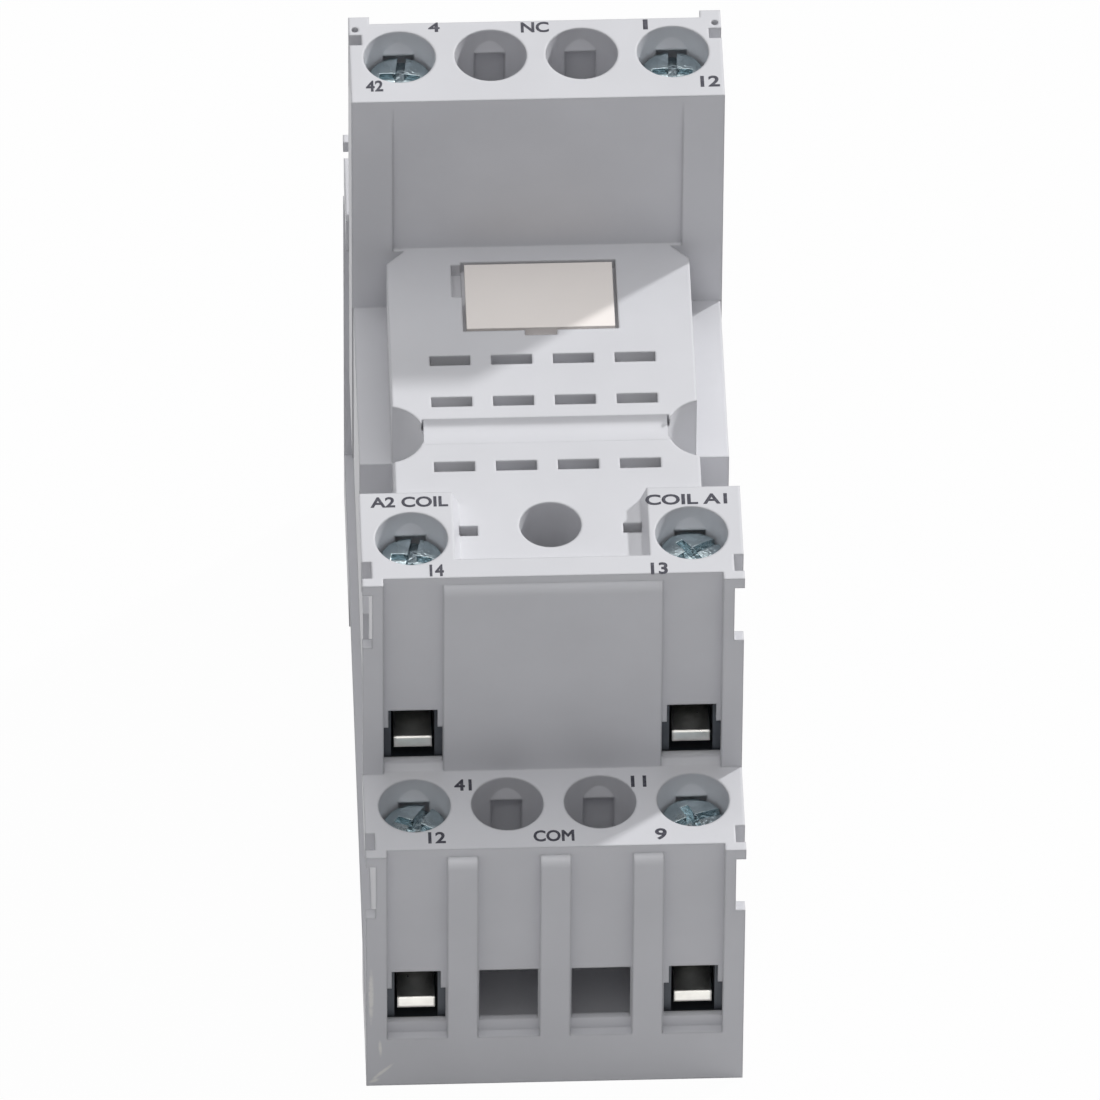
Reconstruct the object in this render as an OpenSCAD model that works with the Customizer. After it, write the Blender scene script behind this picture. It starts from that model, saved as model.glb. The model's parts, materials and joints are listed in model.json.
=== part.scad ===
// Rail-mount screw-terminal socket for a two-pole plug-in relay.
// It lies on its rear: +Z is the side that the relay plugs into, -Y is the end
// with the coil and common terminals, and +X is its right-hand side.
// The origin is at the middle of the rear face.
// Terminals are drawn in a frame of their own: origin on the screw axis at the
// top of their tier, with the wire entry towards -Y.

/* [Body] */
// Width across the moulded side walls
body_w = 27; // [26.8:0.1:30]
// Width of the tower that carries the normally closed terminals
tower_w = 26.6; // [26.4:0.1:27]
// Width of the body beside the relay deck
waist_w = 26.4; // [26:0.1:26.8]
// Height of the common tier above the rear face
com_h = 24; // [23.8:0.1:27]
// Rise from the common tier to the coil blocks
coil_rise = 19.4; // [19.3:0.1:21]
// Drop from the coil blocks to the relay deck
deck_drop = 1.2; // [0.8:0.1:1.5]
// Rise from the relay deck to the top of the tower
tower_rise = 15.15; // [15:0.05:18]
// Drop from the tower to the normally open tier
no_drop = 20; // [19.5:0.1:20.5]
// Depth of the common and normally open tiers, wall to wall
tier_d = 8.1; // [8.1:0.05:9.5]
// Length of the coil blocks
coil_d = 8.4; // [8.3:0.1:9]
// Clear length between the coil blocks and the tower
bay_d = 25.15; // [25:0.05:28]
// Depth of the tower
tower_d = 7.9; // [7.8:0.1:8.5]

/* [Relay deck] */
// Width of the raised deck
deck_w = 21.7; // [21.4:0.1:22.4]
// Width of the gap between the tops of the coil blocks
block_gap = 13.8; // [13.4:0.1:14]
// Drop from the deck to the side ledges
ledge_drop = 5.7; // [4:0.1:6]
// Length of the pockets beside the deck
pocket_l = 9; // [6:0.1:9.4]
// Pitch of the blade slots across the deck
slot_pitch = 4.4; // [4.3:0.05:4.4]
// Width of a blade slot
slot_w = 2.9; // [2.7:0.05:2.95]
// Thickness of a blade slot
slot_t = 0.95; // [0.8:0.05:1.1]
// Diameter of the fixing hole through the deck
fix_d = 4.4; // [3.5:0.1:4.5]

/* [Terminals] */
// Pitch of the terminals in the wide tiers
term_pitch = 6.6; // [6.55:0.05:6.65]
// Diameter of the screw wells
well_d = 5.15; // [5.1:0.05:5.3]
// Depth of a screw head below its tier
head_sink = 2.2; // [1.8:0.1:2.4]
// Diameter of a screw head
head_d = 4.7; // [4.4:0.1:4.8]
// Height of a screw head
head_h = 1.6; // [1.4:0.1:1.8]
// Thread diameter of the terminal screws
screw_d = 3; // [2.8:0.1:3]
// Travel of a clamp cage, open to closed
cage_travel = 2.1; // [1.5:0.1:2.1]

/* [Rail] */
// Width of the mounting rail
rail_w = 35; // [34.6:0.1:35.2]
// Thickness of the rail's flanges
rail_t = 1.2; // [1:0.1:1.3]
// Depth of the rail channel
rail_deep = 4.3; // [4:0.1:4.4]
// Overhang of the fixed lip and of the latch nose
rail_grip = 1.5; // [1:0.1:1.8]
// Width of the latch
latch_w = 10.4; // [9:0.1:12]

/* [Marking plate] */
// Width of the marking plate
plate_w = 10.6; // [9.5:0.1:10.8]
// Length of the marking plate
plate_l = 6.4; // [5.5:0.1:6.8]
// Thickness of the marking plate
plate_t = 0.9; // [0.7:0.1:1]

/* [Hidden] */
$fn = 48;
over = 0.5; // how far a cut runs past the face it opens

// Tiers, by number
COM = 0;
COIL = 1;
NC = 2;
NO = 3;
LEFT = -1;
RIGHT = 1;

// Clearances
seat_gap = 0.1; // between pieces that rest against each other
run_gap = 0.08; // around a shaft in its bore
slide_gap = 0.15; // beside a sliding piece
thread_gap = 0.05; // around a thread in its nut

// Heights above the rear face
coil_h = com_h + coil_rise;
deck_h = coil_h - deck_drop;
tower_h = deck_h + tower_rise;
no_h = tower_h - no_drop;
ledge_h = deck_h - ledge_drop;
band_h = 4.9; // the base band, which stands as proud as the ribs and side walls
pocket_drop = 6; // from the ledges down to the floor of the side pockets
pocket_h = ledge_h - pocket_drop;

// Stations along the body, from its near face
face_step = 0.7; // from the base band back to the bays
com_y0 = face_step;
coil_y0 = com_y0 + tier_d;
coil_y1 = coil_y0 + coil_d;
tower_y0 = coil_y1 + bay_d;
tower_y1 = tower_y0 + tower_d;
no_y1 = tower_y1 + tier_d;
body_l = no_y1 + face_step;

// Terminals
narrow_step = 0.1; // by which the tower's terminals stand closer
narrow_pitch = term_pitch - narrow_step;
com_axis = 4.3; // from the bay wall to the screw axis
coil_axis = 3.9;
tower_axis = 3.4;
tier_pitch = [term_pitch, term_pitch, narrow_pitch, term_pitch];
tier_y = [com_y0 + com_axis, coil_y0 + coil_axis, tower_y1 - tower_axis, no_y1 - com_axis];
tier_top = [com_h, coil_h, tower_h, no_h];
tier_wall = [com_axis, coil_axis, tower_axis, com_axis];
upper_drop = 0.8; // how much lower the upper tiers' cages and entries sit
tier_drop = [0, upper_drop, upper_drop, 0];
tier_key = [1, 1, -1, 1]; // side of the screw axis that has the well's catch
well_h = head_sink + head_h + seat_gap;
spare_well_h = 6.5;
key_w = 2.2; // width of the catch over a screw head, and of the channel below it
key_d = 0.35;
catch_d = 0.3;
catch_h = 1;
tongue_top = 16.05; // depth of the contact tongue below the tier
tongue_t = 1;
tongue_w = 2.7;
tongue_set = 0.5; // from the bay wall back to the tongue
cross_d = 1.1; // depth of the strip that crosses from tongue to web
cage_w = 4.4;
cage_back = 2.3; // from the screw axis to the back of the cage
cage_set = 0.6; // from the bay wall back to the cage
cage_t = 0.9;
cage_side_t = 0.65;
cage_roof = 12; // depth of the cage's top below the tier, when open
cage_floor = tongue_top + tongue_t + cage_travel + seat_gap;
chamber_w = cage_w + 2 * slide_gap;
chamber_gap = 0.2; // behind and below the cage
chamber_back = cage_back + chamber_gap;
chamber_set = 0.45;
roof_gap = 0.3; // over the closed cage
chamber_top = cage_roof - cage_travel - roof_gap;
chamber_low = cage_floor + cage_t + chamber_gap;
chamber_floor_t = 0.65; // of the housing, between the chambers and the rear cover
entry_top = 12.75;
entry_step = 14.5;
entry_low = 18;
entry_w = 4.2;
entry_neck = 3.5;
side_t = 1.5; // thickness of the side walls
rib_w = 2.15;
rib_gap = 0.8; // from the top of a tier down to its ribs
rib_r = face_step;

// Rows of relay blades, from the near wall of the coil tier
coil_row_set = 5.67; // from the coil wall back to the coil's blades
coil_row = coil_y0 + coil_row_set;
coil_step = 6.35; // from the coil's blades to the first full row
common_step = 6.4; // between the common and the normally open blades
throw_step = 4.1; // between the normally open and the normally closed blades
row_3 = coil_row + coil_step;
row_2 = row_3 + common_step;
row_1 = row_2 + throw_step;
fix_set = 0.46; // from the coil's blades back to the fixing hole
fix_y = coil_row + fix_set;
column_x = 1.5 * slot_pitch;
block_slope = 0.48; // width of the coil blocks' sloped inner edges
coil_slot_in = column_x - slot_w / 2;
coil_slot_out = block_gap / 2 - block_slope + 0.05;

// Details of the body
foot_r = 0.45; // slanted foot of the coil wall
panel_w = 15.5; // wide panel between the coil bays
panel_step = 0.5;
panel_gap = 0.6; // from the top of the coil tier down to the panel
panel_r = 0.9;
bridge_d = 1.8; // depth of the bridge between the coil blocks
slot_d = 0.7; // depth of the outer slots and of the side panels
slot_y0 = 0.8;
slot_y1 = 2.4;
slot_h = 6.3;
slot_bar = 0.95; // height of the bar across the top of a slot's front
flange_t = 0.9;
panel_drop = 3.05; // from the top of a tier down to its side panel
deck_corner = 1.3;
notch_r = 2.8; // thumb notches in the sides of the deck
notch_out = 0.6;
notch_set = 3.1;
notch_y = row_2 - notch_set;
groove_w = 17.6;
groove_d = 0.85;
groove_set = 1.7;
groove_l = 2.45;
groove_y1 = row_2 - groove_set;
groove_y0 = groove_y1 - groove_l;
face_w = 20.7; // recess in the near wall of the tower
face_d = 0.3;
face_fade = 6; // over which it runs out towards the top
pry_w = 0.7;
pry_l = 3.2;
pry_d = 2;
finger_w = 2.3;
finger_d = 0.5;
ear_w = 0.9;
ear_y0 = 2.1;
ear_y1 = 1.1;
ear_h = 5;
ear_hole_d = 0.5;
ear_hole_h = 2;

// Contacts
hollow_x = 7;
deck_t = 9.3; // thickness of the deck, with the pockets of the contacts in it
hollow_top = deck_h - deck_t;
hollow_wall = 0.6;
hollow_end = 1; // from the far end of the hollow to the far wall of the tower
web_reach = 2.2; // of the web's passage, under the deck before the tower
web_x = 6;
web_t = 0.7;
web_h = 2.2;
web_clear = 0.65; // from the rail channel's floor up to a web
row_lap = 0.7; // of a web past the middle of its blade row
stem_d = 1.6; // of the normally open contacts' upright
leaf_t = 0.45;
leaf_gap = 0.5;
leaf_w = 2.6;
leaf_base = 0.7; // thickness of the strip that joins a pair of leaves
leaf_low = 0.4; // of that strip, below the deck's underside
leaf_top = deck_h - 1.5;
cup_gap = 0.2; // around the leaves
coil_leaf_w = 1.5;

// Rear
rear_t = 2;
skirt = 1.3; // thickness of the housing around the rear cover
rail_play = 0.4;
rail_y0 = 10;
rail_y1 = rail_y0 + rail_w + rail_play;
// Thickness of the rear cover at its near end, up to the floor of the terminal chambers
cover_t = com_h - chamber_low - chamber_floor_t - seat_gap;
floor_top = rail_deep + rear_t;
flange_gap = 0.3; // over the rail's flanges
lip_top = rail_deep - rail_t - flange_gap;
lip_low = 1.2;
lip_slope = 0.2;
riser_t = 1.4;
boss_d = 7;

// Latch
latch_flange = 0.9;
latch_low = 0.2;
latch_top = lip_top - 0.1;
latch_step = 1;
latch_pry_w = 4.5; // slot that a screwdriver pulls the latch by
latch_tail = body_l - 0.1;

// Marking plate
plate_y1 = tower_y0 - 1.5;
plate_gap = 0.25;

// A block between two corners
module block(from, to) {
    translate(from) cube(to - from);
}

// A block that is the same on both sides of the middle
module middle_block(width, y0, y1, z0, z1) {
    block([-width / 2, y0, z0], [width / 2, y1, z1]);
}

// Both sides of the body
module both_sides() {
    children();
    mirror([1, 0, 0]) children();
}

// A profile in Y and Z, run across the body
module across(width) {
    translate([-width / 2, 0, 0]) rotate([90, 0, 90]) linear_extrude(width) children();
}

// Places a part of a terminal on its screw axis
module on_axis(tier, x) {
    translate([x, tier_y[tier], tier_top[tier]]) mirror([0, tier < NC ? 0 : 1, 0]) children();
}

module on_terminal(tier, side) {
    on_axis(tier, side * 1.5 * tier_pitch[tier]) children();
}

// The well of a screw, with the catch that the head snaps past and its channel
module well_cut(depth, channel_h) {
    catch_z = -head_sink + seat_gap;
    difference() {
        translate([0, 0, -depth]) cylinder(d = well_d, h = depth + over);
        across(key_w) polygon([[well_d / 2 + over, catch_z], [well_d / 2 - catch_d, catch_z],
            [well_d / 2, catch_z + catch_h], [well_d / 2 + over, catch_z + catch_h]]);
    }
    block([-key_w / 2, 0, -channel_h], [key_w / 2, well_d / 2 + key_d, catch_z]);
}

// The cavity of one terminal: well, cage chamber and wire entry
module terminal_cut(tier, used) {
    neck = used ? entry_neck : entry_w;
    mirror([0, tier_key[tier] < 0 ? 1 : 0, 0])
        well_cut(used ? well_h : spare_well_h, used ? well_h : chamber_top + tier_drop[tier] + over);
    translate([0, 0, -tier_drop[tier]]) {
        if (used) {
            translate([0, 0, -chamber_top - over])
                cylinder(d = screw_d + 2 * run_gap, h = chamber_top + tier_drop[tier] + over);
        }
        block([-chamber_w / 2, chamber_set - tier_wall[tier], -chamber_low],
            [chamber_w / 2, chamber_back, -chamber_top]);
        block([-neck / 2, -tier_wall[tier] - over, -entry_step - over], [neck / 2, 0, -entry_top]);
        block([-entry_w / 2, -tier_wall[tier] - over, -entry_low], [entry_w / 2, 0, -entry_step]);
    }
}

// The passage that lets a contact out of its chamber towards the web
module passage_cut(tier) {
    x = 1.5 * tier_pitch[tier];
    on_axis(tier, x) translate([0, 0, -tier_drop[tier]]) {
        block([web_x - cup_gap - x, chamber_back - 0.01, -tongue_top - tongue_t - cup_gap],
            [tongue_w / 2 + cup_gap, chamber_back + cross_d + cup_gap, -tongue_top + cup_gap]);
    }
}

// All four cavities of a tier, or the outer two
module tier_cuts(tier, places) {
    for (place = places) {
        on_axis(tier, place * tier_pitch[tier]) terminal_cut(tier, abs(place) > 1);
    }
    both_sides() passage_cut(tier);
}

// An upright panel on a wall that faces dir, with a rounded top
module raised(x, width, y, dir, step, z0, z1, r) {
    translate([x - width / 2, 0, 0]) {
        block([0, min(y + dir, y - dir * step), z0], [width, max(y + dir, y - dir * step), z1 - r]);
        block([0, min(y + dir, y - dir * (step - r)), z0], [width, max(y + dir, y - dir * (step - r)), z1]);
        translate([0, y - dir * (step - r), z1 - r]) rotate([0, 90, 0]) cylinder(r = r, h = width);
    }
}

// Ribs between the four bays of a tier, as proud of its wall as its side walls
module ribs(tier, foot, y, dir) {
    for (place = [-1, 0, 1]) {
        raised(place * tier_pitch[tier], rib_w, y, dir, face_step, foot, tier_top[tier] - rib_gap, rib_r);
    }
}

// The two side walls of a tier, proud of its bays
module tier_sides(width, y, top, foot, dir) {
    both_sides()
        block([width / 2 - side_t, min(y + dir, y - dir * face_step), foot],
            [width / 2, max(y + dir, y - dir * face_step), top]);
}

// The slot in the outer corner of a tier, open to its top, front and side
module side_slot(width, y, top, dir) {
    both_sides() translate([width / 2 - slot_d, y - dir * face_step, top]) mirror([0, dir < 0 ? 1 : 0, 0]) {
        block([0, slot_y0, -slot_h], [slot_d + over, slot_y1, over]);
        block([0, -over, -slot_h], [slot_d + over, slot_y0 + 0.01, -slot_bar]);
    }
}

// The shallow panels that set the sides back between the end flanges
module side_panel_cuts() {
    inner = body_w / 2 - slot_d;
    low_top = com_h - panel_drop;
    both_sides() {
        block([inner, flange_t, band_h], [body_w, body_l - flange_t, low_top]);
        block([inner, coil_y0 - face_step + flange_t, low_top - 0.01],
            [body_w, coil_y1 + over, coil_h - panel_drop]);
        block([inner, tower_y1, low_top - 0.01], [body_w, body_l - flange_t, no_h - panel_drop]);
    }
}

// The body, before anything is cut from it
module body_solid() {
    middle_block(body_w, com_y0, coil_y0, 0, com_h);
    middle_block(body_w, coil_y0, coil_y1, 0, deck_h);
    middle_block(waist_w, coil_y1, tower_y0, 0, deck_h);
    middle_block(tower_w, tower_y0, tower_y1, 0, tower_h);
    middle_block(body_w, tower_y1, no_y1, 0, no_h);
    middle_block(body_w, 0, body_l, 0, band_h);
    tier_sides(body_w, com_y0, com_h, 0, 1);
    tier_sides(body_w, coil_y0, coil_h, com_h - over, 1);
    tier_sides(tower_w, tower_y1, tower_h, no_h - over, -1);
    tier_sides(body_w, no_y1, no_h, 0, -1);
    ribs(COM, band_h - over, com_y0, 1);
    ribs(NC, no_h - over, tower_y1, -1);
    ribs(NO, band_h - over, no_y1, -1);
    across(body_w - 2 * side_t) polygon([[coil_y0 - foot_r, com_h - over], [coil_y0 - foot_r, com_h],
        [coil_y0, com_h + foot_r], [coil_y0 + over, com_h + foot_r], [coil_y0 + over, com_h - over]]);
}

// The raised coil blocks, with sloped inner edges, and the bridge between them
module coil_blocks() {
    both_sides() translate([0, coil_y1, 0]) rotate([90, 0, 0]) linear_extrude(coil_d)
        polygon([[block_gap / 2 - block_slope, deck_h - over], [block_gap / 2 - block_slope, deck_h],
            [block_gap / 2, coil_h], [body_w / 2, coil_h], [body_w / 2, deck_h - over]]);
    middle_block(block_gap + 1, coil_y0, coil_y0 + bridge_d, deck_h - over, coil_h);
}

// What is cut from the sides of the body to leave the relay deck
module deck_cuts() {
    edge = deck_w / 2;
    both_sides() {
        block([edge, coil_y1 + pocket_l, ledge_h], [body_w, tower_y0, deck_h + over]);
        block([edge, coil_y1, pocket_h], [body_w, coil_y1 + pocket_l + over, deck_h + over]);
        translate([0, 0, ledge_h]) linear_extrude(ledge_drop + over)
            polygon([[edge - deck_corner, tower_y0], [edge + over, tower_y0],
                [edge + over, tower_y0 - deck_corner - over], [edge, tower_y0 - deck_corner]]);
        translate([edge + notch_out, notch_y, ledge_h]) cylinder(r = notch_r, h = ledge_drop + over);
    }
    across(groove_w) polygon([[groove_y1, deck_h + over], [groove_y1, deck_h - groove_d],
        [groove_y0, deck_h], [groove_y0, deck_h + over]]);
}

// The faint recess in the middle of the tower's near wall, fading out upwards
module tower_face_cut() {
    across(face_w) polygon([[tower_y0 - over, deck_h], [tower_y0 + face_d, deck_h],
        [tower_y0 + face_d, tower_h - face_fade], [tower_y0, tower_h - over],
        [tower_y0 - over, tower_h - over]]);
}

// The blade slots
module slot_cut(x, y) {
    translate([x, y, (hollow_top + deck_h) / 2])
        cube([slot_w, slot_t, deck_h - hollow_top + 2 * over], center = true);
}

module slot_cuts() {
    for (place = [-1.5, -0.5, 0.5, 1.5]) {
        for (y = [row_1, row_2, row_3]) slot_cut(place * slot_pitch, y);
    }
    both_sides() {
        block([coil_slot_in, coil_row - slot_t / 2, hollow_top - over],
            [coil_slot_out, coil_row + slot_t / 2, coil_h + over]);
    }
}

// The pockets around the contacts' leaves, under the outer slots
module cup_cut(y, x0, x1) {
    half = leaf_gap / 2 + leaf_t + cup_gap;
    block([x0 - cup_gap, y - half, hollow_top - over], [x1 + cup_gap, y + half, leaf_top + cup_gap]);
}

module cup_cuts() {
    both_sides() {
        for (y = [row_1, row_2, row_3]) cup_cut(y, column_x - leaf_w / 2, column_x + leaf_w / 2);
        cup_cut(coil_row, coil_slot_in, coil_slot_in + coil_leaf_w);
    }
}

// The inside of the body, open to the rear
module hollow_cut() {
    difference() {
        middle_block(2 * hollow_x, coil_y0 + hollow_wall, tower_y1 - hollow_end, 0, hollow_top);
        translate([0, fix_y, 0]) cylinder(d = boss_d, h = deck_h);
    }
    both_sides() {
        web_cut(tier_y[COM] + chamber_back + seat_gap, coil_y0 + hollow_wall + over,
            floor_top, com_web + web_h);
        web_cut(tier_y[COM] + chamber_back + seat_gap, com_riser_y,
            min(floor_top, level(COM) - cup_gap), com_web + web_h);
        web_cut(tower_y0 - web_reach, tier_y[NC] - chamber_back - seat_gap,
            hollow_top - over, level(NC) + tongue_t + cup_gap);
        web_cut(tower_y1 - hollow_end - over, tier_y[NO] - chamber_back - seat_gap,
            level(NO) - cup_gap, level(NO) + web_h);
    }
}

// A passage for the web of a contact
module web_cut(y0, y1, z0, z1) {
    block([web_x - cup_gap, y0, z0], [web_x + web_t + cup_gap, y1, z1]);
}

// The place of the rear cover and the rail, open to the rear
module rear_cut() {
    cover_w = body_w - 2 * skirt;
    riser_y = rail_y0 - riser_t - seat_gap;
    middle_block(cover_w, skirt, body_l - skirt, -over, cover_t + seat_gap);
    middle_block(cover_w, riser_y, body_l - skirt, -over, lip_top + rear_t + seat_gap);
    middle_block(cover_w, riser_y, rail_y1 + riser_t + seat_gap, -over, floor_top + seat_gap);
    middle_block(body_w + 2 * over, rail_y0, rail_y1, -over, rail_deep);
    middle_block(latch_w + 4 * slide_gap, body_l - skirt - over, body_l + over, -over, lip_top + seat_gap);
}

// The recess of the marking plate, with its pry notch and finger slot
module plate_cut() {
    w = plate_w + 2 * plate_gap;
    y0 = plate_y1 - plate_l - plate_gap;
    middle_block(w, y0, plate_y1 + plate_gap, deck_h - plate_t, deck_h + over);
    block([-w / 2 - pry_w, plate_y1 - pry_l, deck_h - pry_d], [0.01 - w / 2, plate_y1, deck_h + over]);
    middle_block(finger_w, y0 - finger_d, y0 + 0.01, deck_h - plate_t, deck_h + over);
}

// Small notches and holes at the tower's far corners
module ear_cuts() {
    both_sides() {
        block([tower_w / 2 - ear_w, tower_y1 - ear_y0, tower_h - ear_h],
            [body_w, tower_y1 - ear_y1, tower_h + over]);
        translate([tower_w / 2 - ear_w / 2, tower_y1 - ear_y1 / 2, tower_h - ear_hole_h])
            cylinder(d = ear_hole_d, h = ear_hole_h + over);
    }
}

module housing() {
    color([0.82, 0.82, 0.84]) difference() {
        union() {
            body_solid();
            coil_blocks();
            raised(0, panel_w, coil_y0, 1, panel_step, com_h - over, coil_h - panel_gap, panel_r);
        }
        deck_cuts();
        tower_face_cut();
        tier_cuts(COM, [-1.5, -0.5, 0.5, 1.5]);
        tier_cuts(COIL, [-1.5, 1.5]);
        tier_cuts(NC, [-1.5, -0.5, 0.5, 1.5]);
        tier_cuts(NO, [-1.5, -0.5, 0.5, 1.5]);
        slot_cuts();
        cup_cuts();
        hollow_cut();
        rear_cut();
        plate_cut();
        ear_cuts();
        side_panel_cuts();
        side_slot(body_w, com_y0, com_h, 1);
        side_slot(body_w, coil_y0, coil_h, 1);
        side_slot(body_w, no_y1, no_h, -1);
        translate([0, fix_y, -over]) cylinder(d = fix_d, h = coil_h + 2 * over);
    }
}

// The rear cover: rail channel, fixed lip and the latch's guides
module base_plate() {
    cover_w = body_w - 2 * skirt - 2 * seat_gap;
    y0 = skirt + seat_gap;
    y1 = body_l - skirt - seat_gap;
    color([0.30, 0.31, 0.33]) difference() {
        across(cover_w) polygon([[y0, 0], [rail_y0, 0], [rail_y0, lip_low],
            [rail_y0 + rail_grip, lip_low + lip_slope], [rail_y0 + rail_grip, lip_top],
            [rail_y0, lip_top], [rail_y0, rail_deep], [rail_y1, rail_deep], [rail_y1, 0],
            [y1, 0], [y1, lip_top + rear_t], [rail_y1 + riser_t, lip_top + rear_t],
            [rail_y1 + riser_t, floor_top], [rail_y0 - riser_t, floor_top],
            [rail_y0 - riser_t, cover_t], [y0, cover_t]]);
        middle_block(latch_w + 2 * slide_gap, rail_y1 - over, y1 + over, latch_step - 0.1, lip_top);
        middle_block(latch_w - 2 * latch_flange + 2 * slide_gap,
            rail_y1 - over, y1 + over, -over, latch_step);
        translate([0, fix_y, 0]) cylinder(d = fix_d, h = floor_top + over);
    }
}

// The sliding rail latch, with its nose, window and screwdriver slot
module din_latch() {
    nose_y = rail_y1 - rail_grip;
    narrow_w = latch_w - 2 * latch_flange;
    arm_t = 0.9;
    nose_t = 0.7;
    body_y0 = rail_y1 + 0.2;
    window_y0 = rail_y1 + 2.2;
    tail_l = 4.2;
    pry_t = 1.2;
    window_y1 = latch_tail - tail_l;
    pry_y1 = latch_tail - pry_t;
    color([0.20, 0.21, 0.22]) difference() {
        union() {
            middle_block(latch_w, body_y0, latch_tail, latch_step, latch_top);
            middle_block(narrow_w, body_y0, latch_tail, latch_low, latch_top);
            across(latch_w) polygon([[nose_y + 1, latch_step], [body_y0 + 0.1, latch_step],
                [body_y0 + 0.1, latch_top], [nose_y, latch_top], [nose_y, latch_top - nose_t]]);
        }
        middle_block(narrow_w - 2 * arm_t, window_y0, window_y1, 0, latch_top + over);
        middle_block(latch_pry_w, pry_y1 - pry_t, pry_y1, -over, latch_top + over);
    }
}

module marking_plate() {
    color([0.93, 0.91, 0.87]) translate([0, plate_y1 - plate_l / 2, deck_h - plate_t / 2])
        cube([plate_w, plate_l, plate_t], center = true);
}

// A terminal screw with a slot and cross recess
module terminal_screw() {
    recess = 0.9;
    blade = 0.7;
    tip = tongue_top - 0.05;
    color([0.72, 0.74, 0.77]) difference() {
        union() {
            translate([0, 0, -head_sink - head_h]) cylinder(d = head_d, h = head_h);
            translate([0, 0, -tip]) cylinder(d = screw_d, h = tip - head_sink - head_h);
        }
        translate([0, 0, -head_sink]) {
            cube([head_d + 1, blade, 2 * recess], center = true);
            cube([blade, head_d * 0.6, 2 * recess], center = true);
        }
    }
}

// A clamp cage: a bent ring around the tongue, with a threaded roof
module clamp_cage(tier) {
    inner_w = cage_w - 2 * cage_side_t;
    y0 = cage_set - tier_wall[tier];
    color([0.62, 0.62, 0.58]) translate([0, 0, -tier_drop[tier]]) difference() {
        block([-cage_w / 2, y0, -cage_floor - cage_t], [cage_w / 2, cage_back, -cage_roof]);
        block([-inner_w / 2, y0 - over, -cage_floor],
            [inner_w / 2, cage_back + over, -cage_roof - cage_t]);
        translate([0, 0, -cage_roof - cage_t - over])
            cylinder(d = screw_d + 2 * thread_gap, h = cage_t + 2 * over);
    }
}

// Height of the underside of a contact's tongue above the rear face
function level(tier) = tier_top[tier] - tier_drop[tier] - tongue_top - tongue_t;

// The webs of the common contacts rise, if they must, to clear the rail channel's floor
com_web = max(level(COM), floor_top + web_clear);
com_riser_y = rail_y0 - riser_t - seat_gap;

// The tongue of a contact, and the strip that crosses to its web
module tongue(tier) {
    x = 1.5 * tier_pitch[tier];
    y1 = chamber_back + cross_d;
    on_axis(tier, x) translate([0, 0, level(tier) - tier_top[tier]]) {
        block([-tongue_w / 2, tongue_set - tier_wall[tier], 0], [tongue_w / 2, y1, tongue_t]);
        block([web_x - x, chamber_back + seat_gap, 0], [tongue_w / 2, y1, tongue_t]);
    }
}

// The web of a contact, as an upright sheet between the stations it joins
module web(y0, y1, z0, z1) {
    block([web_x, y0, z0], [web_x + web_t, y1, z1]);
}

// Two spring leaves that take a relay blade between them
module leaves(y, x0, width) {
    half = leaf_gap / 2 + leaf_t;
    base = hollow_top - leaf_low;
    block([x0, y - half, base], [x0 + width, y + half, base + leaf_base]);
    block([x0, y - half, base], [x0 + width, y - leaf_gap / 2, leaf_top]);
    block([x0, y + leaf_gap / 2, base], [x0 + width, y + half, leaf_top]);
}

// A whole contact, on the right-hand side
module contact(tier) {
    low = level(tier);
    back = tier_y[tier] + (tier < NC ? 1 : -1) * (chamber_back + seat_gap);
    row = [row_3, coil_row, row_1, row_2][tier];
    under = hollow_top - leaf_low / 2;
    tongue(tier);
    if (tier == COM) {
        web(back, com_riser_y, low, com_web + web_h);
        web(back, row + row_lap, com_web, com_web + web_h);
        web(row + row_lap - web_h, row + row_lap, com_web, under);
    }
    if (tier == COIL) {
        web(row - row_lap, back + cross_d - seat_gap, low, under);
    }
    if (tier == NC) {
        web(row - row_lap, back, under - web_h, under);
        web(back - cross_d + seat_gap, back, under - web_h, low + tongue_t);
    }
    if (tier == NO) {
        web(row - row_lap, back, low, low + web_h);
        web(row - row_lap, row - row_lap + stem_d, low, under);
    }
    leaves(row, tier == COIL ? coil_slot_in : column_x - leaf_w / 2, tier == COIL ? coil_leaf_w : leaf_w);
}

module contact_on(tier, side) {
    color([0.80, 0.66, 0.36]) mirror([side == LEFT ? 1 : 0, 0, 0]) contact(tier);
}

// Everything is drawn from the near face and centred here
module placed() {
    translate([0, -body_l / 2, 0]) children();
}

placed() housing();
placed() base_plate();
placed() din_latch();
placed() marking_plate();
placed() on_terminal(COM, LEFT) terminal_screw();  // screw_com_left
placed() on_terminal(COM, RIGHT) terminal_screw();  // screw_com_right
placed() on_terminal(COIL, LEFT) terminal_screw();  // screw_coil_left
placed() on_terminal(COIL, RIGHT) terminal_screw();  // screw_coil_right
placed() on_terminal(NC, LEFT) terminal_screw();  // screw_nc_left
placed() on_terminal(NC, RIGHT) terminal_screw();  // screw_nc_right
placed() on_terminal(NO, LEFT) terminal_screw();  // screw_no_left
placed() on_terminal(NO, RIGHT) terminal_screw();  // screw_no_right
placed() on_terminal(COM, LEFT) clamp_cage(COM);  // cage_com_left
placed() on_terminal(COM, RIGHT) clamp_cage(COM);  // cage_com_right
placed() on_terminal(COIL, LEFT) clamp_cage(COIL);  // cage_coil_left
placed() on_terminal(COIL, RIGHT) clamp_cage(COIL);  // cage_coil_right
placed() on_terminal(NC, LEFT) clamp_cage(NC);  // cage_nc_left
placed() on_terminal(NC, RIGHT) clamp_cage(NC);  // cage_nc_right
placed() on_terminal(NO, LEFT) clamp_cage(NO);  // cage_no_left
placed() on_terminal(NO, RIGHT) clamp_cage(NO);  // cage_no_right
placed() contact_on(COM, LEFT);  // contact_com_left
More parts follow.
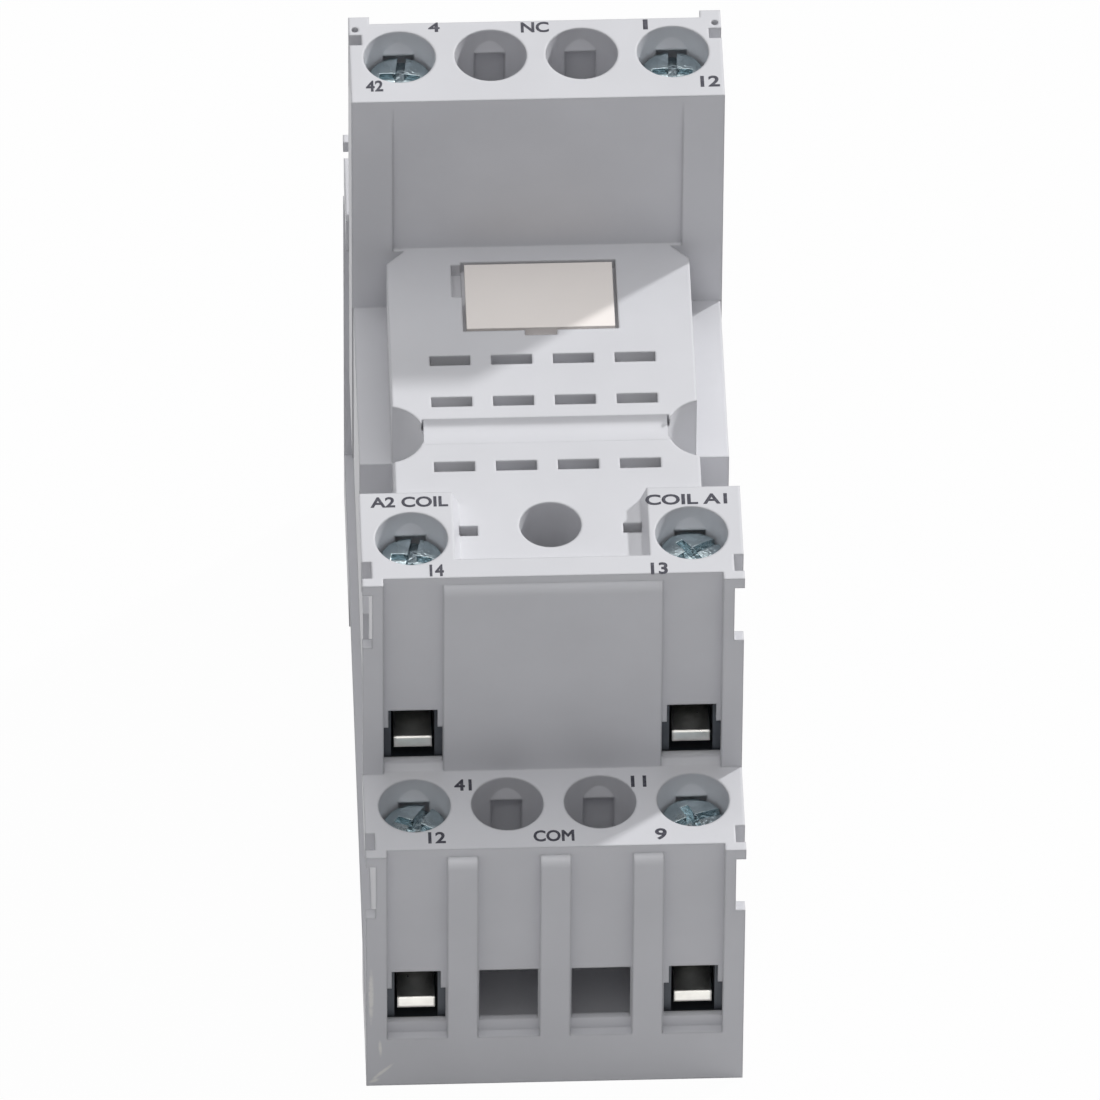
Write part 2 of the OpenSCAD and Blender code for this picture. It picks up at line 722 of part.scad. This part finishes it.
placed() contact_on(COM, RIGHT);  // contact_com_right
placed() contact_on(COIL, LEFT);  // contact_coil_left
placed() contact_on(COIL, RIGHT);  // contact_coil_right
placed() contact_on(NC, LEFT);  // contact_nc_left
placed() contact_on(NC, RIGHT);  // contact_nc_right
placed() contact_on(NO, LEFT);  // contact_no_left
placed() contact_on(NO, RIGHT);  // contact_no_right
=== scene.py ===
"""A relay socket lying on its rear: looks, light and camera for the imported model."""
import json
import math

import bmesh
import bpy
from mathutils import Matrix, Vector


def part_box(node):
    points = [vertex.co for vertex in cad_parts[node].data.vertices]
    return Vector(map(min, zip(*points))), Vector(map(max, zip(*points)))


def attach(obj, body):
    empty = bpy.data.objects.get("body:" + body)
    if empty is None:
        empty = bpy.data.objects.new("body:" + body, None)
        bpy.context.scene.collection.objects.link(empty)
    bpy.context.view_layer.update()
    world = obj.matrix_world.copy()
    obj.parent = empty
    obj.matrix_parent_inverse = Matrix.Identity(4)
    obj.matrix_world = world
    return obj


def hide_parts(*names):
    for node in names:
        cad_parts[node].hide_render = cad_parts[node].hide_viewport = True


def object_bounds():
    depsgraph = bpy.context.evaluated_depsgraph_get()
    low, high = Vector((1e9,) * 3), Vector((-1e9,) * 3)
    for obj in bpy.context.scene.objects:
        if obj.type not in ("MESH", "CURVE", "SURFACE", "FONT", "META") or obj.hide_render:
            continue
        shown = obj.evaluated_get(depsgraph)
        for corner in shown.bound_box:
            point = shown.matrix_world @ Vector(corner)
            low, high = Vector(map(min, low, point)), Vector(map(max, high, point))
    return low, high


MM = 0.001
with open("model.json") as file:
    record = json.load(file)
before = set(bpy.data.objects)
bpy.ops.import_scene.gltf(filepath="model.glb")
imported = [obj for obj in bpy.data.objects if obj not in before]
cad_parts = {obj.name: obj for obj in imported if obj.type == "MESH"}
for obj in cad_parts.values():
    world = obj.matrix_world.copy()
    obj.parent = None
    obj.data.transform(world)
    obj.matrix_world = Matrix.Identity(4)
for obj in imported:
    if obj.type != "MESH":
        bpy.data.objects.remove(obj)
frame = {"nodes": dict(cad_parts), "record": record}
CAD_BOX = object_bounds()
NODES = frame["nodes"]
SOCKET = "socket"
NEAR_Y = CAD_BOX[0].y

# Heights of the tiers and of the deck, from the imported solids
HEAD_SINK = 2.2 * MM  # from the top of a tier down to its screw heads
TIER_TOP = {t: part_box(f"screw_{t}_right")[1].z + HEAD_SINK for t in ("com", "coil", "nc", "no")}
DECK_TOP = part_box("marking_plate")[1].z


# ---------------------------------------------------------------- nodes

def new_material(name):
    """A material, its node tree and its shader."""
    mat = bpy.data.materials.new(name)
    mat.use_nodes = True
    return mat, mat.node_tree, mat.node_tree.nodes["Principled BSDF"]


def add(tree, kind, **inputs):
    """Adds a node and sets its unlinked sockets by name."""
    made = tree.nodes.new(kind)
    for name, value in inputs.items():
        made.inputs[name.replace("_", " ")].default_value = value
    return made


def join_by(tree, operation, one, two):
    """The result of a Math node on two linked values."""
    made = tree.nodes.new("ShaderNodeMath")
    made.operation = operation
    tree.links.new(one, made.inputs[0])
    tree.links.new(two, made.inputs[1])
    return made.outputs[0]


def object_noise(tree, scale, detail=3.0, roughness=0.5):
    """Noise in object space, in cycles a metre."""
    coords = tree.nodes.new("ShaderNodeTexCoord")
    noise = add(tree, "ShaderNodeTexNoise", Scale=scale, Detail=detail, Roughness=roughness)
    tree.links.new(coords.outputs["Object"], noise.inputs["Vector"])
    return noise


def colour_between(tree, factor, low, high, low_at=0.3, high_at=0.7):
    """A two-colour ramp driven by a factor."""
    ramp = tree.nodes.new("ShaderNodeValToRGB")
    ramp.color_ramp.elements[0].position = low_at
    ramp.color_ramp.elements[0].color = (*low, 1)
    ramp.color_ramp.elements[1].position = high_at
    ramp.color_ramp.elements[1].color = (*high, 1)
    tree.links.new(factor, ramp.inputs["Fac"])
    return ramp.outputs["Color"]


def mottled(tree, noise, colour, spread):
    """A colour that a noise makes a little darker and lighter."""
    low = [c * (1 - spread) for c in colour]
    high = [min(1, c * (1 + spread)) for c in colour]
    return colour_between(tree, noise.outputs["Fac"], low, high)


def vary_gloss(tree, shader, noise, low, high):
    """Lets a noise move the roughness between two values."""
    gloss = add(tree, "ShaderNodeMapRange", To_Min=low, To_Max=high)
    tree.links.new(noise.outputs["Fac"], gloss.inputs["Value"])
    tree.links.new(gloss.outputs["Result"], shader.inputs["Roughness"])


EDGE_SAMPLES = 6


def rounded_bump(tree, shader, noise, strength, distance, radius):
    """Softens the edges by a radius and adds a fine bump on top."""
    bump = add(tree, "ShaderNodeBump", Strength=strength, Distance=distance)
    tree.links.new(noise.outputs["Fac"], bump.inputs["Height"])
    if radius:
        edge = add(tree, "ShaderNodeBevel", Radius=radius)
        edge.samples = EDGE_SAMPLES
        tree.links.new(edge.outputs["Normal"], bump.inputs["Normal"])
    tree.links.new(bump.outputs["Normal"], shader.inputs["Normal"])


# ---------------------------------------------------------------- rubbed marks

# From the near face's left edge, height, tilt in degrees, length and width, in mm
SCUFFS = ((1.15, 1.45, -48, 3.0, 0.42), (0.55, 0.55, -25, 1.1, 0.5), (1.0, 3.9, 88, 2.2, 0.35),
    (0.35, 9.5, 90, 7.0, 0.5))
SCUFF_COLOUR = (0.86, 0.85, 0.83)
SCUFF_DEPTH = 0.8  # reach of a mark behind the near face, in mm
SCUFF_BREAKS = 2600  # noise that breaks the marks up, in cycles a metre
SCUFF_FADE = (0.05, 0.32)  # from no mark to a full one


def scuff(tree, x, z, tilt, length, width):
    """One long soft patch, strongest along its middle."""
    coords = tree.nodes.new("ShaderNodeTexCoord")
    place = tree.nodes.new("ShaderNodeMapping")
    place.vector_type = "TEXTURE"
    place.inputs["Location"].default_value = (CAD_BOX[0].x + x * MM, NEAR_Y, z * MM)
    place.inputs["Rotation"].default_value = (0, math.radians(tilt), 0)
    place.inputs["Scale"].default_value = (length / 2 * MM, SCUFF_DEPTH * MM, width / 2 * MM)
    tree.links.new(coords.outputs["Object"], place.inputs["Vector"])
    patch = tree.nodes.new("ShaderNodeTexGradient")
    patch.gradient_type = "SPHERICAL"
    tree.links.new(place.outputs["Vector"], patch.inputs["Vector"])
    return patch.outputs["Fac"]


def scuffed(tree, colour):
    """Lays pale rubbed marks over a colour, near the lower left corner of the near face."""
    patches = scuff(tree, *SCUFFS[0])
    for values in SCUFFS[1:]:
        patches = join_by(tree, "MAXIMUM", patches, scuff(tree, *values))
    breaks = object_noise(tree, SCUFF_BREAKS)
    broken = join_by(tree, "MULTIPLY", patches, breaks.outputs["Fac"])
    amount = add(tree, "ShaderNodeMapRange", From_Min=SCUFF_FADE[0], From_Max=SCUFF_FADE[1])
    tree.links.new(broken, amount.inputs["Value"])
    blend = tree.nodes.new("ShaderNodeMix")
    blend.data_type = "RGBA"
    under, over, result = blend.inputs[6], blend.inputs[7], blend.outputs[2]  # the colour sockets
    tree.links.new(amount.outputs["Result"], blend.inputs["Factor"])
    tree.links.new(colour, under)
    over.default_value = (*SCUFF_COLOUR, 1)
    return result


# ---------------------------------------------------------------- materials

# Noises of the plastics and metals, in cycles a metre, and the heights that their bumps stand for
PLASTIC_CLOUD = 140
PLASTIC_WEAR = 420
PLASTIC_GRAIN = 5200
METAL_CLOUD = 900
METAL_GRAIN = 4000
GRAIN_DEPTH = 0.02 * MM
DENT_DEPTH = 0.06 * MM
PLASTIC_SHINE = 0.4


def moulded_plastic(name, colour, roughness=0.42, spread=0.03, radius=0.16 * MM, grain=0.12, worn=False):
    """Moulded plastic: faint mottling, a fine grain and softened edges."""
    mat, tree, shader = new_material(name)
    tone = mottled(tree, object_noise(tree, PLASTIC_CLOUD, 4), colour, spread)
    tree.links.new(scuffed(tree, tone) if worn else tone, shader.inputs["Base Color"])
    vary_gloss(tree, shader, object_noise(tree, PLASTIC_WEAR), roughness - 0.05, roughness + 0.06)
    rounded_bump(tree, shader, object_noise(tree, PLASTIC_GRAIN, 2), grain, GRAIN_DEPTH, radius)
    shader.inputs["Specular IOR Level"].default_value = PLASTIC_SHINE
    return mat


def plated_metal(name, colour, roughness=0.28, radius=0.06 * MM, spread=0.08, grain=0.15,
        dent=GRAIN_DEPTH):
    """Plated metal with faint clouding and fine dents."""
    mat, tree, shader = new_material(name)
    shader.inputs["Metallic"].default_value = 1.0
    cloud = object_noise(tree, METAL_CLOUD, 4)
    tree.links.new(mottled(tree, cloud, colour, spread), shader.inputs["Base Color"])
    vary_gloss(tree, shader, cloud, roughness - 0.08, roughness + 0.1)
    rounded_bump(tree, shader, object_noise(tree, METAL_GRAIN), grain, dent, radius)
    return mat


def dark_steel(name, colour):
    """A very dark sheet metal, half dull, with faint clouding."""
    mat = plated_metal(name, colour, roughness=0.5)
    mat.node_tree.nodes["Principled BSDF"].inputs["Metallic"].default_value = 0.3
    return mat


def printed_ink():
    """Dull dark marking ink, slightly uneven."""
    mat, tree, shader = new_material("marking_ink")
    patchy = object_noise(tree, 3000)
    dark = (0.035, 0.035, 0.05)
    thin = (0.09, 0.09, 0.11)
    tree.links.new(colour_between(tree, patchy.outputs["Fac"], dark, thin, low_at=0.45, high_at=0.75),
        shader.inputs["Base Color"])
    shader.inputs["Roughness"].default_value = 0.6
    return mat


HOUSING = (0.655, 0.657, 0.685)
MATERIALS = {
    "housing_plastic": moulded_plastic("housing_plastic", HOUSING, radius=0.26 * MM, worn=True),
    "housing_inset": moulded_plastic("housing_inset", HOUSING, radius=0),
    "rear_plastic": moulded_plastic("rear_plastic", (0.60, 0.60, 0.62)),
    "latch_plastic": moulded_plastic("latch_plastic", (0.045, 0.045, 0.05), spread=0.15),
    "plate_plastic": moulded_plastic("plate_plastic", (0.95, 0.895, 0.855), roughness=0.38,
        spread=0.012, radius=0.1 * MM, grain=0.06),
    "screw_zinc": plated_metal("screw_zinc", (0.5, 0.58, 0.61), roughness=0.15,
        radius=0.08 * MM, spread=0.14, grain=1.0, dent=DENT_DEPTH),
    # The thread's near-black colour is painted shade: it darkens the shank that shows above the contact
    # tongues.
    "screw_thread_painted_shade": dark_steel("screw_thread_painted_shade", (0.09, 0.095, 0.1)),
    "cage_zinc": dark_steel("cage_zinc", (0.085, 0.095, 0.11)),
    "contact_brass": plated_metal("contact_brass", (0.93, 0.91, 0.86), roughness=0.3, radius=0.3 * MM),
}
INK = printed_ink()


def dress_nodes():
    """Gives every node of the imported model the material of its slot."""
    for part in frame["record"]["subparts"]:
        mesh = NODES[part["node"]].data
        mesh.materials.clear()
        mesh.materials.append(MATERIALS[part["material_slot"]])


# ---------------------------------------------------------------- meshes

def finished(mesh, name):
    """Turns a bmesh into a linked object."""
    data = bpy.data.meshes.new(name)
    bmesh.ops.recalc_face_normals(mesh, faces=mesh.faces)
    mesh.to_mesh(data)
    mesh.free()
    return linked(name, data)


def linked(name, data):
    """A new object in the scene."""
    made = bpy.data.objects.new(name, data)
    bpy.context.scene.collection.objects.link(made)
    return made


def evaluated_mesh(obj):
    """The mesh of an object with its modifiers applied."""
    bpy.context.view_layer.update()
    return bpy.data.meshes.new_from_object(obj.evaluated_get(bpy.context.evaluated_depsgraph_get()))


def ring(mesh, radius, z, count):
    """A closed ring of points."""
    turn = 2 * math.pi / count
    return [mesh.verts.new((radius * math.cos(k * turn), radius * math.sin(k * turn), z))
        for k in range(count)]


def join_rings(mesh, low, high):
    """The wall between two rings."""
    for k in range(len(low)):
        after = (k + 1) % len(low)
        mesh.faces.new((low[k], low[after], high[after], high[k]))


def lathe(name, profile, count=64):
    """A closed solid of revolution about Z, from (radius, height) pairs, low to high."""
    mesh = bmesh.new()
    rings = [ring(mesh, r, z, count) for r, z in profile]
    for low, high in zip(rings, rings[1:]):
        join_rings(mesh, low, high)
    mesh.faces.new(reversed(rings[0]))
    mesh.faces.new(rings[-1])
    return finished(mesh, name)


def box_mesh(name, size, centre):
    """A box about a centre."""
    mesh = bmesh.new()
    bmesh.ops.create_cube(mesh, size=1)
    bmesh.ops.scale(mesh, vec=size, verts=mesh.verts)
    bmesh.ops.translate(mesh, vec=centre, verts=mesh.verts)
    return finished(mesh, name)


def cut(body, cutters):
    """Cuts the cutters out of the body and deletes them."""
    for cutter in cutters:
        change = body.modifiers.new("cut", "BOOLEAN")
        change.object = cutter
        change.solver = "EXACT"
    mesh = evaluated_mesh(body)
    body.modifiers.clear()
    body.data = mesh
    for cutter in cutters:
        bpy.data.objects.remove(cutter)


def smooth_by_angle(obj, degrees):
    """Smooth shading, with sharp edges past an angle."""
    for face in obj.data.polygons:
        face.use_smooth = True
    mesh = bmesh.new()
    mesh.from_mesh(obj.data)
    for edge in mesh.edges:
        if len(edge.link_faces) == 2:
            edge.smooth = edge.calc_face_angle(0) < math.radians(degrees)
    mesh.to_mesh(obj.data)
    mesh.free()


# ---------------------------------------------------------------- terminal screws

HEAD_H = 1.6 * MM  # height of a screw head
DOME_H = 0.25 * MM  # rise of its domed top
DOME_RINGS = (0.85, 0.65, 0.4, 0.15)  # radii of the dome's rings, as shares of its foot
RIM_R = 0.35 * MM
RIM_STEPS = 6
CHAMFER = 0.1 * MM  # of the point and under the head
SHANK_R = 1.5 * MM
THREAD_PITCH = 0.5 * MM
THREAD_DEPTH = 0.12 * MM
THREAD_START = 0.6 * MM
POINT_H = 0.4 * MM
POINT_INSET = 0.45 * MM
SLOT_W = 0.62 * MM
SLOT_DEPTH = 0.72 * MM
CROSS_L = 2.9 * MM
CROSS_DEPTH = 0.9 * MM
TAPER_R = (0.3 * MM, 0.95 * MM)  # of the cross recess, at its foot and its top
TAPER_H = 1.17 * MM
TAPER_SINK = 0.405 * MM  # from the head's rim down to the middle of the taper

# How far each screw is turned, in degrees
SCREW_TURNS = {"com_left": 62, "com_right": 24, "coil_left": 80, "coil_right": 35,
    "nc_left": 84, "nc_right": 88, "no_left": 15, "no_right": 70}


def screw_profile(total, head_r):
    """The outline of a screw: point, threaded shank, and head with a domed top."""
    neck = total - HEAD_H
    profile = [(SHANK_R - POINT_INSET, 0), (SHANK_R - CHAMFER, POINT_H)]
    z = THREAD_START
    while z < neck - THREAD_PITCH:
        profile += [(SHANK_R - THREAD_DEPTH, z), (SHANK_R, z + THREAD_PITCH / 2)]
        z += THREAD_PITCH
    profile += [(SHANK_R - THREAD_DEPTH, neck), (head_r - CHAMFER, neck), (head_r, neck + CHAMFER)]
    flat_r = head_r - RIM_R
    for k in range(RIM_STEPS + 1):
        angle = k / RIM_STEPS * math.pi / 2
        profile.append((flat_r + RIM_R * math.cos(angle), total - RIM_R + RIM_R * math.sin(angle)))
    for share in DOME_RINGS:
        profile.append((flat_r * share, total + DOME_H * (1 - share * share)))
    return profile


def recess_taper(top):
    """The four-sided taper in the middle of a cross recess."""
    mesh = bmesh.new()
    bmesh.ops.create_cone(mesh, cap_ends=True, segments=4, radius1=TAPER_R[0], radius2=TAPER_R[1],
        depth=TAPER_H, matrix=Matrix.Translation((0, 0, top - TAPER_SINK)))
    return finished(mesh, "taper")


def screw_mesh():
    """One terminal screw with a slot and a cross in its head, its thread in the second material, near
    black as painted shade.
    """
    low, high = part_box("screw_com_right")
    total = high.z - low.z
    head_r = (high.x - low.x) / 2
    body = lathe("screw", screw_profile(total, head_r))
    cut(body, [
        box_mesh("slot", (2.2 * head_r, SLOT_W, 2 * SLOT_DEPTH), (0, 0, total)),
        box_mesh("cross", (SLOT_W, CROSS_L, 2 * CROSS_DEPTH), (0, 0, total)),
        recess_taper(total)])
    smooth_by_angle(body, 35)
    bpy.context.scene.collection.objects.unlink(body)
    mesh = body.data
    mesh.materials.clear()
    mesh.materials.append(MATERIALS["screw_zinc"])
    mesh.materials.append(MATERIALS["screw_thread_painted_shade"])
    head_foot = max(v.co.z for v in mesh.vertices) - HEAD_H
    # The faces below the head, the thread, take the near-black material: painted shade.
    for face in mesh.polygons:
        face.material_index = int(face.center.z < head_foot)
    return mesh


def add_screws():
    """Puts a detailed screw in the place of each plain one."""
    mesh = screw_mesh()
    for place, turned in SCREW_TURNS.items():
        low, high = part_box(f"screw_{place}")
        centre = (low + high) / 2
        made = linked(f"terminal_screw_{place}", mesh.copy())
        made.matrix_world = Matrix.Translation((centre.x, centre.y, low.z)) @ Matrix.Rotation(
            math.radians(turned), 4, "Z")
        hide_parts(f"screw_{place}")
        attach(made, f"screw_{place}_body")


# ---------------------------------------------------------------- details of the deck

GROOVE = (23.07, 25.52)  # stations of the trough's near and far edges, in mm from the near face
GROOVE_WIDTH = 17.34 * MM
GROOVE_DEPTH = 0.85 * MM
GROOVE_STEPS = 16
GROOVE_TURN = 0.19  # share of the trough's length in which it turns from down to level

PRY_SIZE = (0.7, 3.2, 0.2)  # the floor of the pry notch, in mm
PRY_GAP = 0.25 * MM  # between the notch and the marking plate
PRY_DROP = 1.2 * MM


def inset(made):
    """Makes a piece a part of the housing."""
    made.data.materials.append(MATERIALS["housing_inset"])
    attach(made, SOCKET)


def add_groove_fillet():
    """Fills the corner of the trough across the deck, which is softly curved."""
    near, far = (NEAR_Y + station * MM for station in GROOVE)
    mesh = bmesh.new()
    rows = []
    for k in range(GROOVE_STEPS + 1):
        share = k / GROOVE_STEPS
        depth = GROOVE_DEPTH * (1 - share) * (1 - math.exp(-share / GROOVE_TURN))
        y = far + (near - far) * share
        rows.append([mesh.verts.new((side * GROOVE_WIDTH / 2, y, DECK_TOP - depth)) for side in (-1, 1)])
    foot = [mesh.verts.new((side * GROOVE_WIDTH / 2, far, DECK_TOP - GROOVE_DEPTH)) for side in (-1, 1)]
    for one, two in zip(rows, rows[1:]):
        mesh.faces.new((one[0], one[1], two[1], two[0]))
    mesh.faces.new((foot[1], foot[0], rows[-1][0], rows[-1][1]))
    mesh.faces.new((foot[0], foot[1], rows[0][1], rows[0][0]))
    for side in (0, 1):
        mesh.faces.new([row[side] for row in rows] + [foot[side]])
    made = finished(mesh, "groove_fillet")
    smooth_by_angle(made, 40)
    inset(made)


def add_pry_floor():
    """Closes the bottom of the notch beside the marking plate."""
    low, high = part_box("marking_plate")
    size = Vector(PRY_SIZE) * MM
    centre = Vector((low.x - PRY_GAP - size.x / 2, high.y - size.y / 2, DECK_TOP - PRY_DROP))
    inset(box_mesh("pry_floor", size, centre))


# ---------------------------------------------------------------- printed marks

MARK_T = 0.02 * MM
LETTER_WEIGHT = 0.028  # thickens the strokes, as a share of the letters' size

# Each mark, its tier, its middle in x and in y from the near face, its width and its height, in mm
MARKS = (
    ("4", "nc", -7.2, 49.8, 0.82, 0.95), ("NC", "nc", 0.0, 49.6, 2.0, 1.05),
    ("1", "nc", 7.9, 49.65, 0.34, 1.0),
    ("42", "nc", -11.6, 44.0, 1.23, 1.1), ("12", "nc", 12.3, 43.8, 1.38, 1.1),
    ("A2 COIL", "coil", -9.95, 16.3, 5.5, 1.03), ("COIL A1", "coil", 9.65, 16.0, 5.8, 1.03),
    ("14", "coil", -8.2, 9.56, 1.0, 1.15), ("13", "coil", 7.5, 9.3, 1.2, 1.15),
    ("41", "com", -6.4, 6.9, 1.25, 1.1), ("11", "com", 6.1, 6.9, 1.1, 1.1),
    ("COM", "com", -0.1, 1.8, 2.9, 1.1), ("12", "com", -8.4, 1.85, 1.25, 1.1),
    ("9", "com", 7.5, 1.75, 0.85, 1.1),
    ("44", "no", -6.4, 52.0, 1.4, 1.1), ("14", "no", 6.1, 52.0, 1.2, 1.1),
    ("NO", "no", 0.0, 57.4, 2.1, 1.1), ("8", "no", -8.4, 57.4, 0.85, 1.1),
    ("5", "no", 8.4, 57.4, 0.85, 1.1))


def letter_mesh(text):
    """Flat bold letters."""
    curve = bpy.data.curves.new("mark", "FONT")
    curve.body = text
    curve.extrude = 0.01
    curve.bevel_depth = LETTER_WEIGHT
    curve.bevel_resolution = 0
    curve.resolution_u = 4
    source = linked("mark", curve)
    mesh = evaluated_mesh(source)
    bpy.data.objects.remove(source)
    return mesh


def add_mark(text, tier, x, y, width, height):
    """Prints a mark flat on a tier."""
    mesh = letter_mesh(text)
    low = Vector([min(v.co[k] for v in mesh.vertices) for k in range(3)])
    high = Vector([max(v.co[k] for v in mesh.vertices) for k in range(3)])
    size = Vector((width * MM, height * MM, MARK_T))
    base = Vector((x * MM - size.x / 2, NEAR_Y + y * MM - size.y / 2, TIER_TOP[tier]))
    for vertex in mesh.vertices:
        for k in range(3):
            share = (vertex.co[k] - low[k]) / (high[k] - low[k])
            vertex.co[k] = base[k] + share * size[k]
    letters = "".join(c for c in text if c.isalnum())
    made = linked(f"mark_{letters}_{int(round(y))}_{int(round(abs(x)))}", mesh)
    mesh.materials.clear()
    mesh.materials.append(INK)
    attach(made, SOCKET)


# ---------------------------------------------------------------- studio

FLOOR_SIZE = 3.0
FLOOR_DROP = 0.02 * MM  # below the rear face, so that the two don't coincide
FLOOR_COLOUR = (0.6, 0.6, 0.61, 1)
FLOOR_WHITE = 0.975  # share of plain white that the floor shows; the rest keeps a faint shadow
FILL_COLOUR = (0.97, 0.98, 1.0, 1)
FILL_STRENGTH = 0.2

# Each lamp, the way its light travels, its strength and how soft its shadow is, in degrees
LAMPS = (("key", (-0.675, -0.485, -0.556), 2.15, 3.5), ("overhead", (0.05, 0.1, -1.0), 1.35, 70))

CAMERA_ANGLES = (46.325, 2.245, -0.407)  # elevation, yaw and roll, in degrees
CAMERA_DISTANCE = 1.469
CAMERA_AIM = (25 * MM, 35 * MM)  # from the near face, and height
CAMERA_OFFSET = (0.358 * MM, -4.1 * MM)  # from the aim, to the right and up in the view
VIEW_W = 78.48174 * MM  # width of the view at the aim
SENSOR = 36


def seen_directly(tree):
    """One where a camera, glossy or transmission ray looks, nought elsewhere."""
    path = tree.nodes.new("ShaderNodeLightPath")
    total = path.outputs["Is Camera Ray"]
    for name in ("Is Glossy Ray", "Is Transmission Ray"):
        total = join_by(tree, "MAXIMUM", total, path.outputs[name])
    return total


def add_floor():
    """A pale floor that shows white and keeps a faint shadow."""
    mesh = bmesh.new()
    bmesh.ops.create_grid(mesh, x_segments=1, y_segments=1, size=FLOOR_SIZE / 2)
    floor = finished(mesh, "floor")
    floor.location.z = -FLOOR_DROP
    mat, tree, shader = new_material("floor")
    shader.inputs["Base Color"].default_value = FLOOR_COLOUR
    shader.inputs["Roughness"].default_value = 0.9
    white = add(tree, "ShaderNodeEmission", Strength=1.0)
    share = tree.nodes.new("ShaderNodeMath")
    share.operation = "MULTIPLY"
    share.inputs[1].default_value = FLOOR_WHITE
    tree.links.new(seen_directly(tree), share.inputs[0])
    mix = tree.nodes.new("ShaderNodeMixShader")
    tree.links.new(share.outputs[0], mix.inputs["Fac"])
    tree.links.new(shader.outputs[0], mix.inputs[1])
    tree.links.new(white.outputs[0], mix.inputs[2])
    tree.links.new(mix.outputs[0], tree.nodes["Material Output"].inputs["Surface"])
    floor.data.materials.append(mat)


def add_world():
    """Soft fill from all round, behind a white background."""
    world = bpy.data.worlds.new("studio")
    bpy.context.scene.world = world
    world.use_nodes = True
    tree = world.node_tree
    fill = tree.nodes["Background"]
    fill.inputs["Color"].default_value = FILL_COLOUR
    fill.inputs["Strength"].default_value = FILL_STRENGTH
    white = add(tree, "ShaderNodeBackground", Strength=1.0)
    white.inputs["Color"].default_value = (1, 1, 1, 1)
    mix = tree.nodes.new("ShaderNodeMixShader")
    tree.links.new(seen_directly(tree), mix.inputs["Fac"])
    tree.links.new(fill.outputs[0], mix.inputs[1])
    tree.links.new(white.outputs[0], mix.inputs[2])
    tree.links.new(mix.outputs[0], tree.nodes["World Output"].inputs["Surface"])


def add_lamp(name, travel, strength, soft_degrees):
    """A distant lamp that shines along travel."""
    lamp = bpy.data.lights.new(name, "SUN")
    lamp.energy = strength
    lamp.angle = math.radians(soft_degrees)
    made = linked(name, lamp)
    made.rotation_mode = "QUATERNION"
    made.rotation_quaternion = Vector(travel).to_track_quat("-Z", "Y")


def add_camera():
    """A long lens from in front and above, a little to the left."""
    elevation, yaw, roll = (math.radians(angle) for angle in CAMERA_ANGLES)
    back = Vector((-math.sin(yaw) * math.cos(elevation), -math.cos(yaw) * math.cos(elevation),
        math.sin(elevation)))
    level = Vector((math.cos(yaw), -math.sin(yaw), 0))
    upward = back.cross(level)
    right = level * math.cos(roll) - upward * math.sin(roll)
    up = level * math.sin(roll) + upward * math.cos(roll)
    along, height = CAMERA_AIM
    aim = Vector((0, NEAR_Y + along, height)) + right * CAMERA_OFFSET[0] + up * CAMERA_OFFSET[1]
    lens = bpy.data.cameras.new("camera")
    lens.sensor_width = SENSOR
    lens.lens = SENSOR * CAMERA_DISTANCE / VIEW_W
    lens.clip_start = 0.1
    lens.clip_end = 10
    made = linked("camera", lens)
    turn = Matrix((right, up, back)).transposed()
    made.matrix_world = Matrix.Translation(aim + back * CAMERA_DISTANCE) @ turn.to_4x4()
    bpy.context.scene.camera = made


dress_nodes()
add_screws()
add_groove_fillet()
add_pry_floor()
for mark in MARKS:
    add_mark(*mark)
add_floor()
add_world()
for lamp in LAMPS:
    add_lamp(*lamp)
add_camera()
bpy.context.scene.view_settings.view_transform = "Standard"
